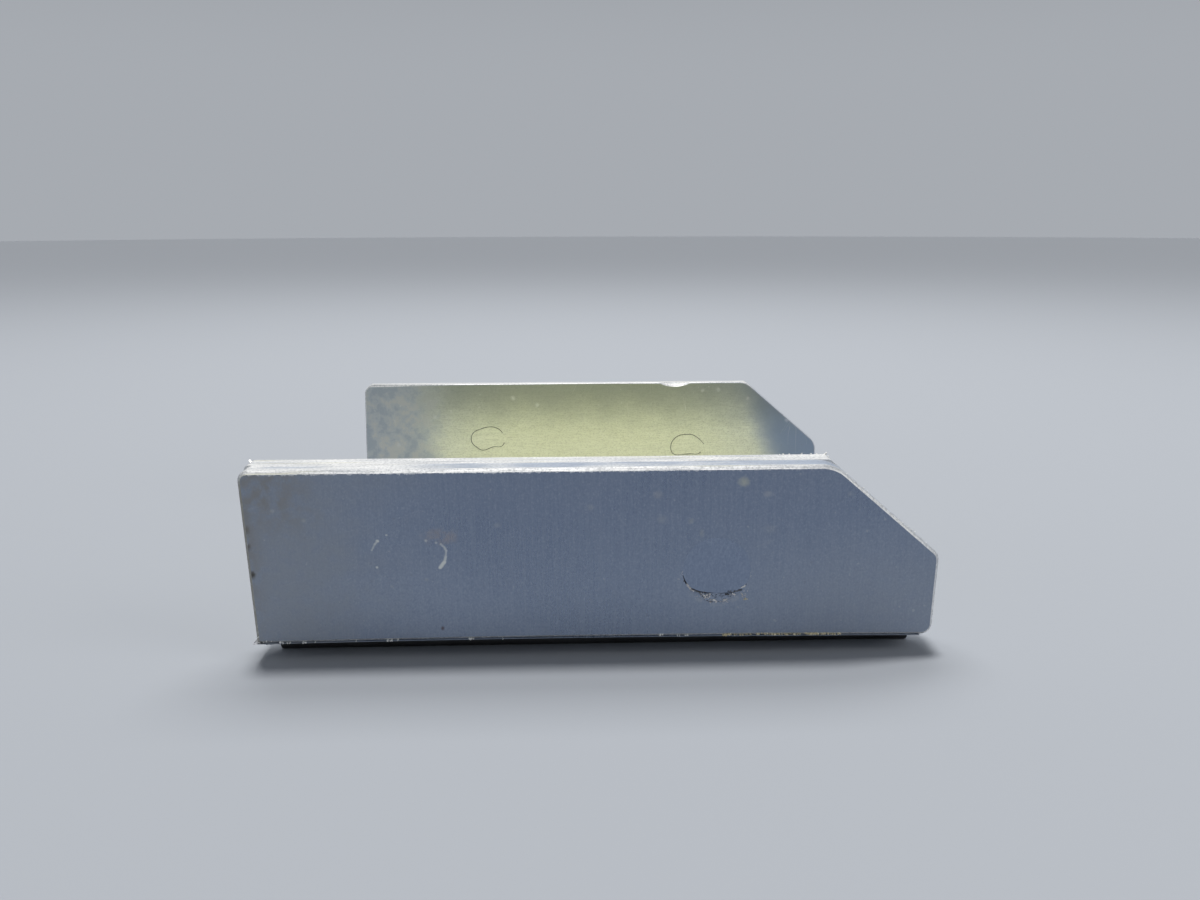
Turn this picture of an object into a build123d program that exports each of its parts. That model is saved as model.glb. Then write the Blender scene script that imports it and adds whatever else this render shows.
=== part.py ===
from build123d import *
import math
import os

# Tailwheel spacer: a U-channel of 1/8 in aluminium sheet with a doubler plate
# riveted flush on the outside of each flange.
# Millimetres. +Z up, +X towards the clipped end, -Y is the front.
# Origin: middle of the underside of the web.

IN = 25.4

# ---- driving dimensions -------------------------------------------------
sheet = 0.125 * IN                # thickness of the channel and of the plates
gap = 2.3125 * IN                 # clear width between the flanges
top_z = 25.80                     # top edge of the flanges and of the front plate
clip_x = 14.10                    # clipped corner, along X
clip_z = 12.10                    # clipped corner, down Z
plate_bottom_z = 2.65             # sheared lower edge of the doubler plates, at its highest
plate_bow = (-2.0, 0.23, 0.42)    # where that is, and how much lower each end hangs

# Ends of each wall: X of the left end at the plates' lower edge and at the top, X of
# the right end at the plates' lower edge, and how far that end leans out per mm of
# height. The hand-sheared ends aren't quite square, and the walls aren't quite in line.
front_ends = (-44.40, -45.14, 45.05, 0.0219)
rear_ends = (-42.79, -42.15, 45.05, 0.0)

# Ends of the web, X at the front and at the rear: it stops short of the walls
web_left = (-42.40, -41.00)
web_right = (43.00, 43.20)
notch_z = 5.0                     # height of the notch that trims the web back
notch_r = 0.8                     # radius in the notch's inner corner

corner_out_r = 1.0                # outside corner, web to flange
corner_in_r = 1.0                 # inside corner, web to flange

# corner radii of the outlines: top left, top of clip, foot of clip
plate_r_front = (1.3, 5.0, 1.8)
flange_r_front = (0.6, 0.7, 1.6)
plate_r_rear = (1.6, 3.2, 2.4)
flange_r_rear = (1.9, 3.2, 3.2)
plate_foot_r = 1.5                # bottom right corner of the plates
rear_plate_drop = 0.8             # the rear plate's top is this much under the flange's
rear_top_fall = 0.24              # the rear flange's top is filed down by this at its back

edge_break = 0.42                 # filed bevel round the plates' outer faces
flange_break = 0.25               # rounded edge of the flanges' inner faces
end_break = 0.20                  # rounded ends of the web

# wider worn bevel on the rear flange's inner top edge, at its left end
worn_width = 0.50                 # on the inner face, at the left end
worn_to_x = -19.0                 # where it runs out

# nick in the same edge: where it is, its length along the edge and its depth
nick_x = 17.2
nick_length = 6.4
nick_depth = 0.80

# double-flush rivets, 3/16 in, 100 degree countersunk head outside
shank_r = 0.190 * IN / 2
head_r = 0.353 * IN / 2
head_depth = (head_r - shank_r) / 1.19175   # tan 50 degrees
rim_depth = 0.30                  # depth of the gap left round a head or a tail
tail_depth = 0.80                 # depth that the hammered tail fills
tail_gap = 0.14                   # width of the gap left round a tail

# rivet axes: X and Z
rivets_front = {"left": (-23.87, 14.78), "right": (15.88, 11.90)}
rivets_rear = {"left": (-18.98, 15.10), "right": (19.84, 13.55)}

# Each head's top, as an ellipse inside its countersink: half width, half height,
# and how far it sits above the hole's centre. It leaves a thin crescent open.
# One head never filled its countersink: its top is an outline through points, flat
# along the bottom, where it leaves a wide crescent.
head_short = [(4.43, 0.0), (4.16, 1.52), (3.39, 2.85), (2.21, 3.84), (0.77, 4.36),
              (-0.77, 4.36), (-2.21, 3.84), (-3.39, 2.85), (-4.16, 1.52), (-4.43, 0.0),
              (-4.22, -1.15), (-3.72, -1.98), (-2.93, -2.62), (-1.61, -3.06), (0.0, -3.22),
              (1.75, -3.18), (3.20, -2.74), (3.98, -1.94), (4.36, -0.90)]
heads = {
    "rivet_front_left": (head_r - 0.14, head_r - 0.03, 0.0),
    "rivet_front_right": head_short,
    "rivet_rear_left": (head_r - 0.06, head_r - 0.10, 0.04),
    "rivet_rear_right": (head_r - 0.12, head_r - 0.05, -0.02),
}

# Outlines of the hammered tails, seen from the front: X and Z from the rivet's axis
tail_wavy = [(3.37, -0.27), (3.10, 0.73), (2.39, 1.74), (1.42, 2.27), (0.35, 2.39),
             (-0.71, 2.21), (-1.68, 1.87), (-2.57, 1.46), (-3.15, 0.73), (-3.32, -0.09),
             (-3.06, -1.00), (-2.22, -1.78), (-1.33, -2.34), (-0.53, -2.30),
             (0.35, -1.94), (1.42, -1.66), (2.35, -1.70), (2.88, -1.40), (3.22, -0.85)]
tail_flat = [(3.41, -0.09), (2.92, 0.53), (2.30, 1.17), (1.59, 1.69), (0.89, 2.01),
             (0.00, 2.10), (-0.97, 2.03), (-1.77, 1.81), (-2.57, 1.23), (-3.10, 0.55),
             (-3.32, -0.27), (-3.23, -1.19), (-2.84, -1.86), (-1.77, -2.16),
             (-0.44, -2.06), (0.89, -1.97), (2.16, -1.98), (2.70, -1.55), (3.10, -0.91)]
tails = {
    "rivet_front_left": [(-x, z) for x, z in reversed(tail_flat)],
    "rivet_front_right": [(-x, -z) for x, z in tail_wavy],
    "rivet_rear_left": tail_wavy,
    "rivet_rear_right": tail_flat,
}

# ---- derived ------------------------------------------------------------
yi = gap / 2                      # inner face of a flange
ym = yi + sheet                   # outer face of a flange, inner face of a plate
yo = ym + sheet                   # outer face of a plate

os.makedirs("parts", exist_ok=True)


def round_corner(face, point, radius):
    """Round the corner of a flat outline that lies nearest to point."""
    p = Vector(point[0], point[1], 0)
    corner = sorted(face.vertices(), key=lambda v: (Vector(v) - p).length)[0]
    return fillet(corner, radius)


def outline(ends, low_z, high_z, radii, foot_r=None, bow=None):
    """A wall's outline in X and Z, from low_z up to high_z, with its clipped corner.
    With a bow its lower edge is an arc, lowest at the ends."""
    left_low, left_high, right_low, lean = ends
    slope = (left_high - left_low) / (top_z - plate_bottom_z)
    at_left = lambda z: left_low + slope * (z - plate_bottom_z)
    at_right = lambda z: right_low + lean * (z - plate_bottom_z)
    # foot of the clip: where its line meets the leaning right end
    z = high_z - clip_z
    for _ in range(8):
        z = high_z - clip_z - (at_right(z) - right_low) * clip_z / clip_x
    corners = [(at_left(low_z), low_z), (at_right(low_z), low_z), (at_right(z), z),
               (right_low - clip_x, high_z), (at_left(high_z), high_z)]
    if bow:
        at, left_drop, right_drop = bow
        corners[0] = (at_left(low_z - left_drop), low_z - left_drop)
        corners[1] = (at_right(low_z - right_drop), low_z - right_drop)
        sides = Polyline(*corners[1:], corners[0])
        lower = ThreePointArc(corners[0], (at, low_z), corners[1])
        face = make_face([*sides.edges(), lower])
    else:
        face = make_face(Polyline(*corners, close=True))
    face = round_corner(face, corners[4], radii[0])
    face = round_corner(face, corners[3], radii[1])
    face = round_corner(face, corners[2], radii[2])
    if foot_r:
        face = round_corner(face, corners[1], foot_r)
    return face


def wall(face, y_low, y_high):
    """Stand an outline drawn in X and Z upright between two Y planes."""
    body = extrude(face, amount=y_high - y_low)
    return Pos(0, y_high, 0) * (Rot(90, 0, 0) * body)


def blob(points, inward):
    """Closed smooth outline through points, drawn in by a distance."""
    pts = []
    for x, z in points:
        r = (x * x + z * z) ** 0.5
        pts.append(((x * (r - inward) / r), (z * (r - inward) / r)))
    return make_face(Spline(*pts, periodic=True))


def turned(profile, side):
    """Turn a profile of radius and depth below the outer face about the rivet's axis."""
    body = revolve(make_face(Polyline(*profile, close=True)), Axis.Y)
    return body if side == "front" else Rot(0, 0, 180) * body


def depth_span(side, a, b):
    """The Y span between two depths below the outer face, from the outer face at Y = 0."""
    return (a, b) if side == "front" else (-b, -a)


def rivet(name, place):
    """The rivet, and the body of the hole it fills: head flush with the plate's outer
    face, hammered tail flush with the flange's inner face."""
    side = "front" if "front" in name else "rear"
    t = 2 * sheet
    core = turned([(0, rim_depth), (head_r, rim_depth), (shank_r, rim_depth + head_depth),
                   (shank_r, t - tail_depth / 2), (0, t - tail_depth / 2)], side)
    if isinstance(heads[name], list):
        top = blob(heads[name], 0)
    else:
        half_w, half_h, rise = heads[name]
        top = Pos(0, rise) * make_face(Ellipse(half_w, half_h).edges())
    cap = wall(top, *depth_span(side, 0, rim_depth))
    full_cap = wall(make_face(Circle(head_r).edges()), *depth_span(side, 0, rim_depth))
    tail_low = wall(blob(tails[name], 0), *depth_span(side, t - tail_depth, t - rim_depth))
    tail_top = wall(blob(tails[name], tail_gap), *depth_span(side, t - rim_depth, t))
    tail_full = wall(blob(tails[name], 0), *depth_span(side, t - tail_depth, t))
    body = core + cap + tail_low + tail_top
    hole = core + full_cap + tail_full
    x, z = place
    at = Pos(x, -yo if side == "front" else yo, z)
    return at * body, at * hole


rivet_solids = {}
holes = {}
for where, place in rivets_front.items():
    n = "rivet_front_" + where
    rivet_solids[n], holes[n] = rivet(n, place)
for where, place in rivets_rear.items():
    n = "rivet_rear_" + where
    rivet_solids[n], holes[n] = rivet(n, place)

# ---- channel ------------------------------------------------------------
u_pts = [(-ym, 0), (ym, 0), (ym, top_z), (yi, top_z), (yi, sheet),
         (-yi, sheet), (-yi, top_z), (-ym, top_z)]
u_face = make_face(Polyline(*u_pts, close=True))
for s in (-1, 1):
    u_face = round_corner(u_face, (s * ym, 0), corner_out_r)
    u_face = round_corner(u_face, (s * yi, sheet), corner_in_r)
channel = Pos(-60, 0, 0) * extrude(Plane.YZ * u_face, amount=120)

# each flange gets its own outline
front_half = wall(outline(front_ends, -1, top_z, flange_r_front), -ym - 1, 0)
rear_half = wall(outline(rear_ends, -1, top_z, flange_r_rear), 0, ym + 1)
channel = channel & (front_half + rear_half)


def end_trim(line, side):
    """Body that trims the web and the lower flanges back at one end."""
    x_front, x_rear = line
    turn = math.degrees(math.atan2(x_rear - x_front, 2 * ym))
    mid = (x_front + x_rear) / 2
    face = make_face(Polyline((0, -2), (20, -2), (20, notch_z), (0, notch_z), close=True))
    face = round_corner(face, (0, notch_z), notch_r)
    if side < 0:
        face = mirror(face, about=Plane.YZ)
    return Pos(mid, 0, 0) * (Rot(0, 0, -turn) * wall(face, -50, 50))


channel = channel - end_trim(web_left, -1) - end_trim(web_right, 1)

# rounded edges round the inner face of each flange, above the notch
for s in (-1, 1):
    rim = [e for e in channel.edges()
           if abs(e.center().Y - s * yi) < 1e-4 and e.center().Z > notch_z + 0.2
           and e.bounding_box().size.Y < 1e-4]
    channel = fillet(rim, flange_break)

# rounded ends of the web, top and bottom
ends = [e for e in channel.edges()
        if abs(e.center().X) > 40 and e.bounding_box().size.Y > gap / 2
        and e.center().Z < sheet + 0.1]
channel = fillet(ends, end_break)

# the rear flange's top, filed to fall away towards the back
start = yi + flange_break + 0.05
reach = ym + 1
end_z = top_z - rear_top_fall * (reach - start) / (ym - start)
fall = make_face(Polyline((start, top_z), (reach, end_z), (reach, top_z + 1),
                          (start, top_z + 1), close=True))
channel = channel - Pos(-60, 0, 0) * extrude(Plane.YZ * fall, amount=120)

# the worn bevel on the rear flange: a long wedge that runs out towards the right


def worn_section(x, w):
    pts = [(yi - 1, top_z + 1), (yi - 1, top_z - w - 0.9), (yi, top_z - w),
           (yi + 0.55 * w, top_z), (yi + 0.55 * w + 0.45, top_z + 1)]
    plane = Plane(origin=(x, 0, 0), x_dir=(0, 1, 0), z_dir=(1, 0, 0))
    return plane * make_face(Polyline(*pts, close=True))


channel = channel - loft([worn_section(-46, worn_width), worn_section(worn_to_x, 0.12)],
                         ruled=True)

# the nick: a round scoop across the same edge
half = nick_length / 2
off = (half * half - nick_depth * nick_depth) / (2 * nick_depth)
scoop = Sphere(math.sqrt(2 * off * off + half * half))
channel = channel - Pos(nick_x, yi - off, top_z + off) * scoop

# ---- doubler plates -----------------------------------------------------
plate_faces = {
    "side_plate_front": outline(front_ends, plate_bottom_z, top_z, plate_r_front,
                                plate_foot_r, plate_bow),
    "side_plate_rear": outline(rear_ends, plate_bottom_z, top_z - rear_plate_drop,
                               plate_r_rear, plate_foot_r, plate_bow),
}
plates = {}
for name, s in (("side_plate_front", -1), ("side_plate_rear", 1)):
    lo, hi = (ym, yo) if s > 0 else (-yo, -ym)
    p = wall(plate_faces[name], lo, hi)
    rim = [e for e in p.edges()
           if abs(e.center().Y - s * yo) < 1e-4 and e.bounding_box().size.Y < 1e-4
           and not (e.center().Z < 3 and e.bounding_box().size.Z < 0.6)]
    plates[name] = chamfer(rim, edge_break)

# ---- rivet holes --------------------------------------------------------
for name, hole in holes.items():
    channel = channel - hole
    side = "side_plate_front" if "front" in name else "side_plate_rear"
    plates[side] = plates[side] - hole

# ---- write each piece ---------------------------------------------------
pieces = {"channel": channel, **plates, **rivet_solids}
for name, shape in pieces.items():
    solids = shape.solids()
    print(name, len(solids), "solid(s)", round(sum(s.volume for s in solids), 1), "mm3")
    out = solids[0] if len(solids) == 1 else Compound(children=solids)
    export_step(out, "parts/" + name + ".step")
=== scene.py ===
import math
import random

import bmesh
import bpy
from mathutils import Matrix, Vector, noise


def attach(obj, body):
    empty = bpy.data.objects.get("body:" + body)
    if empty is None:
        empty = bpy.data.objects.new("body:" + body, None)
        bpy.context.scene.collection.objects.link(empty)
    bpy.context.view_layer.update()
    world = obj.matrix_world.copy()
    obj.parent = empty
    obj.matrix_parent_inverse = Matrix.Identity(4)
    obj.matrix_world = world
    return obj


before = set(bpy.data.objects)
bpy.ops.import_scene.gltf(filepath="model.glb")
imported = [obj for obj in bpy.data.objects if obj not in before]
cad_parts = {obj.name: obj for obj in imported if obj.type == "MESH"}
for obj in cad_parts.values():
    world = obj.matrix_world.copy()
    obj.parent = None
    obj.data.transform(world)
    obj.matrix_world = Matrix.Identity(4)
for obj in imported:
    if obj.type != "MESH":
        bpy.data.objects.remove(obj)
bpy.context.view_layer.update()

scene = bpy.context.scene
MM = 0.001

# ---- main sizes, millimetres, as in the frame ---------------------------
Y_IN = 29.36875          # inner faces of the flanges
Y_MID = 32.54375         # joint between flange and plate
Y_OUT = 35.71875         # outer faces of the plates
TOP = 25.80
PLATE_BOTTOM = 2.65
SHEET = 3.175
HEAD_R = 4.4831
RIVETS = {
    "rivet_front_left": (-23.87, 14.78),
    "rivet_front_right": (15.88, 11.90),
    "rivet_rear_left": (-18.98, 15.10),
    "rivet_rear_right": (19.84, 13.55),
}


def foot_z(x):
    """Height of the plates' lower edge: a shallow arc, lowest at the ends."""
    return 2.42 + 0.0054245 * (x + 44.4) - 0.00016044 * (x + 44.4) * (x + 2.0)


# ---- camera -------------------------------------------------------------
def make_camera():
    unit = 0.889
    pos = Vector((46.14854 * unit - 44.2, -134.10716 * unit - 35.71875, 60.69831 * unit + 2.65)) * MM
    yaw, pitch, roll = -0.032098, 0.234275, -0.002604
    fwd = Vector((-math.sin(yaw) * math.cos(pitch), math.cos(yaw) * math.cos(pitch), -math.sin(pitch)))
    right = Vector((math.cos(yaw), math.sin(yaw), 0.0))
    up = right.cross(fwd)
    r2 = math.cos(roll) * right + math.sin(roll) * up
    u2 = -math.sin(roll) * right + math.cos(roll) * up
    cam = bpy.data.cameras.new("camera")
    cam.sensor_fit = "HORIZONTAL"
    cam.sensor_width = 36.0
    cam.lens = 971.0 / 1200.0 * 36.0
    cam.clip_start = 0.005
    cam.clip_end = 50.0
    ob = bpy.data.objects.new("camera", cam)
    ob.matrix_world = Matrix((
        (r2.x, u2.x, -fwd.x, pos.x),
        (r2.y, u2.y, -fwd.y, pos.y),
        (r2.z, u2.z, -fwd.z, pos.z),
        (0, 0, 0, 1)))
    scene.collection.objects.link(ob)
    scene.camera = ob
    return ob


make_camera()


# ---- shader kit ---------------------------------------------------------
class Kit:
    """A material under construction. Lengths inside it are millimetres."""

    def __init__(self, name, metallic=1.0):
        self.mat = bpy.data.materials.new(name)
        self.mat.use_nodes = True
        self.t = self.mat.node_tree
        self.t.nodes.clear()
        self.out = self.t.nodes.new("ShaderNodeOutputMaterial")
        self.bsdf = self.t.nodes.new("ShaderNodeBsdfPrincipled")
        self.t.links.new(self.bsdf.outputs["BSDF"], self.out.inputs["Surface"])
        self.bsdf.inputs["Metallic"].default_value = metallic
        co = self.t.nodes.new("ShaderNodeTexCoord")
        self.p = self.vec("MULTIPLY", co.outputs["Object"], (1000.0, 1000.0, 1000.0))
        sep = self.t.nodes.new("ShaderNodeSeparateXYZ")
        self.t.links.new(self.p, sep.inputs[0])
        self.x, self.y, self.z = sep.outputs[0], sep.outputs[1], sep.outputs[2]

    def put(self, socket, value):
        if isinstance(value, bpy.types.NodeSocket):
            self.t.links.new(value, socket)
        elif isinstance(value, (tuple, list)) and len(value) == 3 and socket.type == "RGBA":
            socket.default_value = (*value, 1.0)
        else:
            socket.default_value = value

    def vec(self, op, a, b):
        n = self.t.nodes.new("ShaderNodeVectorMath")
        n.operation = op
        self.put(n.inputs[0], a)
        self.put(n.inputs[1], b)
        return n.outputs[0]

    def math(self, op, a, b=0.0, clamp=False):
        n = self.t.nodes.new("ShaderNodeMath")
        n.operation = op
        n.use_clamp = clamp
        self.put(n.inputs[0], a)
        self.put(n.inputs[1], b)
        return n.outputs[0]

    def mul(self, *values):
        out = values[0]
        for v in values[1:]:
            out = self.math("MULTIPLY", out, v)
        return out

    def add(self, *values):
        out = values[0]
        for v in values[1:]:
            out = self.math("ADD", out, v)
        return out

    def most(self, *values):
        out = values[0]
        for v in values[1:]:
            out = self.math("MAXIMUM", out, v)
        return out

    def ramp(self, value, lo, hi, to_lo=0.0, to_hi=1.0):
        n = self.t.nodes.new("ShaderNodeMapRange")
        n.interpolation_type = "SMOOTHSTEP"
        n.clamp = True
        self.put(n.inputs["Value"], value)
        flip = lo > hi
        n.inputs["From Min"].default_value = hi if flip else lo
        n.inputs["From Max"].default_value = lo if flip else hi
        n.inputs["To Min"].default_value = to_hi if flip else to_lo
        n.inputs["To Max"].default_value = to_lo if flip else to_hi
        return n.outputs["Result"]

    def noise(self, per_mm, detail=2.0, rough=0.5, shift=(0.0, 0.0, 0.0), turn=0.0, warp=0.0, p=None):
        """Noise, by how many cells there are per millimetre along X, Y and Z."""
        m = self.t.nodes.new("ShaderNodeMapping")
        m.vector_type = "POINT"
        self.put(m.inputs["Vector"], p or self.p)
        m.inputs["Location"].default_value = shift
        if turn:
            # turned about Y first, and stretched after
            r = self.t.nodes.new("ShaderNodeMapping")
            r.vector_type = "POINT"
            self.put(r.inputs["Vector"], p or self.p)
            r.inputs["Rotation"].default_value = (0.0, math.radians(turn), 0.0)
            self.put(m.inputs["Vector"], r.outputs[0])
        m.inputs["Scale"].default_value = per_mm
        n = self.t.nodes.new("ShaderNodeTexNoise")
        n.noise_dimensions = "3D"
        n.inputs["Scale"].default_value = 1.0
        n.inputs["Detail"].default_value = detail
        n.inputs["Roughness"].default_value = rough
        n.inputs["Distortion"].default_value = warp
        self.put(n.inputs["Vector"], m.outputs[0])
        return n.outputs["Fac"]

    def mix(self, fac, a, b, blend="MIX"):
        n = self.t.nodes.new("ShaderNodeMix")
        n.data_type = "RGBA"
        n.blend_type = blend
        n.clamp_factor = True
        self.put(n.inputs[0], fac)
        self.put(n.inputs[6], a)
        self.put(n.inputs[7], b)
        return n.outputs[2]

    def lerp(self, fac, a, b):
        n = self.t.nodes.new("ShaderNodeMix")
        n.data_type = "FLOAT"
        n.clamp_factor = True
        self.put(n.inputs[0], fac)
        self.put(n.inputs[2], a)
        self.put(n.inputs[3], b)
        return n.outputs[0]

    def spot(self, x, z, rx, rz=None, soft=0.5, wobble=0.25, grain=2.0):
        """Mask of a ragged spot on an upright face."""
        rz = rz or rx
        dx = self.math("DIVIDE", self.math("SUBTRACT", self.x, x), rx)
        dz = self.math("DIVIDE", self.math("SUBTRACT", self.z, z), rz)
        d = self.math("SQRT", self.add(self.mul(dx, dx), self.mul(dz, dz)))
        w = self.math("SUBTRACT", self.noise((grain,) * 3, 3.0, 0.6, (x, 3.1, z)), 0.5)
        d = self.add(d, self.mul(w, wobble * 4.0))
        return self.ramp(d, 1.0 + soft, 1.0 - soft)

    def ring(self, cx, cz, r, width, a0, a1, soft=8.0):
        """Mask of an arc on an upright face, angles in degrees from +X towards +Z."""
        dx = self.math("SUBTRACT", self.x, cx)
        dz = self.math("SUBTRACT", self.z, cz)
        rr = self.math("SQRT", self.add(self.mul(dx, dx), self.mul(dz, dz)))
        band = self.ramp(self.math("ABSOLUTE", self.math("SUBTRACT", rr, r)), width, width * 0.35)
        mid, half = math.radians((a0 + a1) / 2), (a1 - a0) / 2
        # angle away from the arc's middle, by turning the point first
        ux = self.add(self.mul(dx, math.cos(mid)), self.mul(dz, math.sin(mid)))
        uz = self.add(self.mul(dx, -math.sin(mid)), self.mul(dz, math.cos(mid)))
        ang = self.math("ABSOLUTE", self.math("ARCTAN2", uz, ux))
        gate = self.ramp(ang, math.radians(half + soft), math.radians(max(half - soft, 0.0)))
        return self.mul(band, gate)

    def stroke(self, x0, z0, x1, z1, half, soft=0.5, wobble=0.15):
        """Mask of a short straight stroke on an upright face, from point to point."""
        ex, ez = x1 - x0, z1 - z0
        length = ex * ex + ez * ez
        dx = self.math("SUBTRACT", self.x, x0)
        dz = self.math("SUBTRACT", self.z, z0)
        t = self.math("ADD", self.mul(dx, ex / length), self.mul(dz, ez / length), clamp=True)
        gx = self.math("SUBTRACT", dx, self.mul(t, ex))
        gz = self.math("SUBTRACT", dz, self.mul(t, ez))
        d = self.math("SQRT", self.add(self.mul(gx, gx), self.mul(gz, gz)))
        w = self.math("SUBTRACT", self.noise((3.0, 3.0, 3.0), 2.0, 0.6, (x0, 2.2, z0)), 0.5)
        d = self.add(d, self.mul(w, wobble))
        return self.ramp(d, half * (1.0 + soft), half * (1.0 - soft))

    def scratches(self, turn, along, across, thin, patch, shift):
        """Mask of thin, broken, nearly straight scratches that run at an angle."""
        v = self.noise((along, 0.02, across), 0.0, 0.5, shift, turn)
        line = self.ramp(self.math("ABSOLUTE", self.math("SUBTRACT", v, 0.5)), thin, thin * 0.3)
        gate = self.ramp(self.noise((0.16, 0.16, 0.16), 2.0, 0.5, (shift[1], shift[2], shift[0])), patch, patch + 0.05)
        return self.mul(line, gate)

    def bump(self, height, distance_mm, strength=1.0, normal=None):
        n = self.t.nodes.new("ShaderNodeBump")
        n.inputs["Strength"].default_value = strength
        n.inputs["Distance"].default_value = distance_mm * MM
        self.put(n.inputs["Height"], height)
        if normal is not None:
            self.put(n.inputs["Normal"], normal)
        return n.outputs["Normal"]

    def done(self, color, rough, normal=None, metallic=None):
        self.put(self.bsdf.inputs["Base Color"], color)
        self.put(self.bsdf.inputs["Roughness"], rough)
        if normal is not None:
            self.put(self.bsdf.inputs["Normal"], normal)
        if metallic is not None:
            self.put(self.bsdf.inputs["Metallic"], metallic)
        return self.mat


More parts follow.
